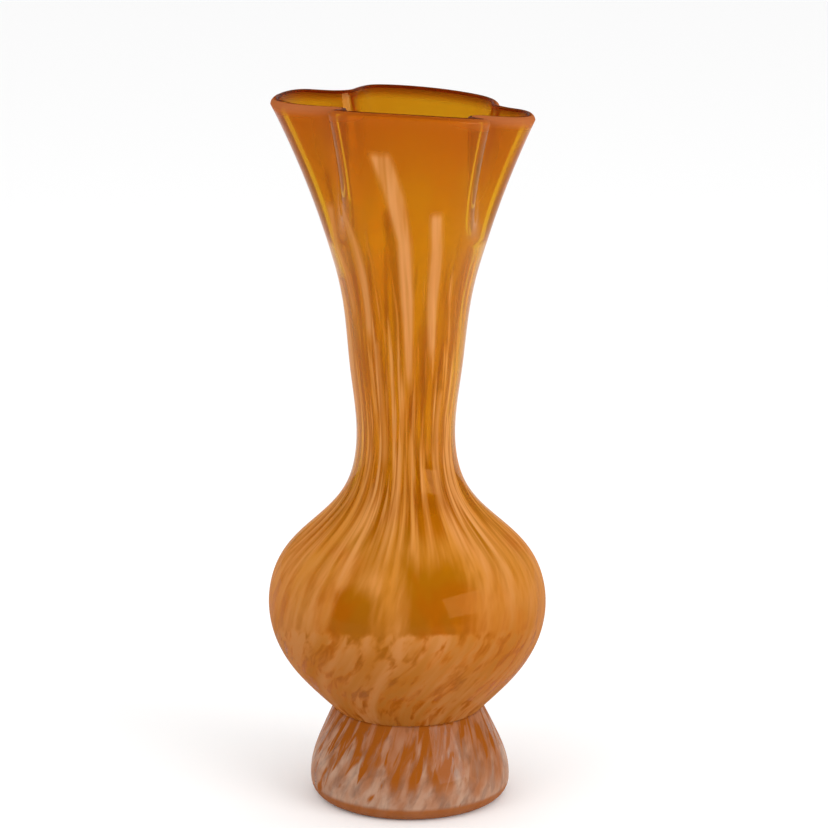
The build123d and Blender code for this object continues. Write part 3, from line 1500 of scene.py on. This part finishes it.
@dataclass
class PontilWafer:
    """The low disc of glass under the bowl, left by the rod that held the vase."""

    radius: float = corner_of("pontil_wafer", 1).x
    top: float = 26.52
    thickness: float = 1.6
    corner: float = 0.32
    around: int = 96
    along: int = 49
    weld: float = 1e-6

    def build(self) -> dict[str, bpy.types.Object]:
        """Turn the disc, a squared-off round, and dress it.

        Returns:
            The piece under the node it stands for.
        """
        bench = ShapeBench("turned_disc")
        radius = bench.parameter("Radius")
        middle = bench.parameter("Middle height")
        half = bench.parameter("Half thickness")
        corner = bench.parameter("Corner")
        counts = {"Vertices X": self.around + 1, "Vertices Y": self.along}
        sheet = bench.add("GeometryNodeMeshGrid", None, {"Size X": 1.0, "Size Y": 1.0, **counts})
        place = bench.add("GeometryNodeInputPosition")
        across = bench.add("ShaderNodeSeparateXYZ", None, {0: place}, "X")
        up = bench.add("ShaderNodeSeparateXYZ", None, {0: place}, "Y")
        turn = (across + 0.5) * (2 * math.pi)
        tilt = (up + 0.5) * math.pi
        reach = tilt.sine().at_least(0.0).power(corner) * radius
        drop = tilt.cosine()
        rise = middle - drop.sign() * drop.size().power(corner) * half
        inputs = {"X": reach * turn.cosine(), "Y": reach * turn.sine(), "Z": rise}
        spot = bench.add("ShaderNodeCombineXYZ", None, inputs)
        formed = bench.add("GeometryNodeSetPosition", None, {"Geometry": sheet, "Position": spot})
        welded = {"Geometry": formed, "Distance": self.weld}
        closed = bench.add("GeometryNodeMergeByDistance", None, welded)
        finish = GlassFinish(
            "wafer_glass", deep=tone(0.78, 0.50, 0.22), pale=tone(0.86, 0.64, 0.36)
        )
        half_thickness = self.thickness * MM / 2
        sizes = {
            "Radius": self.radius * MM,
            "Middle height": self.top * MM - half_thickness,
            "Half thickness": half_thickness,
            "Corner": self.corner,
        }
        piece = bench.run("pontil_disc", closed, finish.build(), sizes)
        piece.data.shade_smooth()
        return {"pontil_wafer": piece}


# ---------------------------------------------------------------- studio


@dataclass(frozen=True)
class SoftBox:
    """A lamp that looks at the vase."""

    name: str
    place: tuple[float, float, float]
    size: Pair
    power: float
    mirrored: bool
    aim: tuple[float, float, float] = (0.0, 0.0, 0.12)

    def hang(self) -> None:
        """Put it in the scene."""
        data = bpy.data.lights.new(self.name, "AREA")
        data.shape = "RECTANGLE"
        data.size, data.size_y = self.size
        data.energy = self.power
        lamp = bpy.data.objects.new(self.name, data)
        lamp.location = self.place
        lamp.visible_glossy = self.mirrored
        aim = Vector(self.aim) - Vector(self.place)
        lamp.rotation_euler = aim.to_track_quat("-Z", "Y").to_euler()
        bpy.context.scene.collection.objects.link(lamp)


@dataclass
class Studio:
    """Floor, light and camera."""

    distance: float = 1.0
    eye_height: float = 0.3688
    pitch: float = 12.99
    lens: float = 127.9
    sensor: float = 36.0
    side_shift: float = 0.0078
    far: float = 60.0
    floor_reach: float = 8.0
    floor_grey: float = 0.93
    white: float = 1.06
    mirrored_white: float = 0.14
    bounces: int = 24
    glass_bounces: int = 20
    clear_bounces: int = 64
    lamps: tuple[SoftBox, ...] = (
        SoftBox("window_light", (0.95, -0.75, 0.50), (0.8, 0.55), 8.0, True),
        SoftBox("fill_light", (-1.0, -0.8, 0.7), (0.8, 0.8), 4.0, False),
    )

    def camera(self) -> None:
        """Stand the camera in front of the vase, looking a little down."""
        data = bpy.data.cameras.new("camera")
        data.sensor_width = self.sensor
        data.lens = self.lens
        data.shift_x = self.side_shift
        data.clip_end = self.far
        camera = bpy.data.objects.new("camera", data)
        camera.location = (0.0, -self.distance, self.eye_height)
        camera.rotation_euler = (math.radians(90.0 - self.pitch), 0.0, 0.0)
        bpy.context.scene.collection.objects.link(camera)
        bpy.context.scene.camera = camera

    def floor(self) -> None:
        """Lay a plain pale floor."""
        mesh = bpy.data.meshes.new("floor")
        size = self.floor_reach
        corners = [(-size, -size, 0), (size, -size, 0), (size, size, 0), (-size, size, 0)]
        mesh.from_pydata(corners, [], [(0, 1, 2, 3)])
        floor = bpy.data.objects.new("floor", mesh)
        bpy.context.scene.collection.objects.link(floor)
        bench = Bench(bpy.data.materials.new("floor_paint"))
        inputs = {"Base Color": grey(self.floor_grey), "Roughness": 0.9, "Specular IOR Level": 0.1}
        mesh.materials.append(bench.finish(bench.add("ShaderNodeBsdfPrincipled", None, inputs)))

    def sky(self) -> None:
        """Even white light from all round, dimmer where the glass mirrors it."""
        bench = Bench(bpy.data.worlds.new("studio_white"))
        reflected = bench.add("ShaderNodeLightPath", output="Is Reflection Ray")
        mirror = reflected - bench.add("ShaderNodeLightPath", output="Is Diffuse Ray")
        levels = {"Value": mirror, "To Min": self.white, "To Max": self.mirrored_white}
        strength = bench.add("ShaderNodeMapRange", None, levels)
        light = {"Color": grey(1.0), "Strength": strength}
        surface = bench.add("ShaderNodeBackground", None, light)
        bpy.context.scene.world = bench.finish(surface)

    def build(self) -> None:
        """Set the whole studio up."""
        scene = bpy.context.scene
        scene.view_settings.view_transform = "Standard"
        scene.cycles.max_bounces = self.bounces
        scene.cycles.transmission_bounces = self.glass_bounces
        scene.cycles.transparent_max_bounces = self.clear_bounces
        self.camera()
        self.floor()
        self.sky()
        for lamp in self.lamps:
            lamp.hang()


def main() -> None:
    """Build the vase and the studio."""
    logging.basicConfig(level=logging.INFO, format="%(name)s: %(message)s")
    builders: list[Callable[[], dict[str, bpy.types.Object]]] = [
        VaseBody().build,
        VaseFoot().build,
        PontilWafer().build,
    ]
    for builder in builders:
        for node, piece in builder().items():
            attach(piece, "root")
            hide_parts(node)
            LOG.info("%s stands for %s, %d faces", piece.name, node, len(piece.data.polygons))
    Studio().build()


if __name__ == "__main__":
    main()
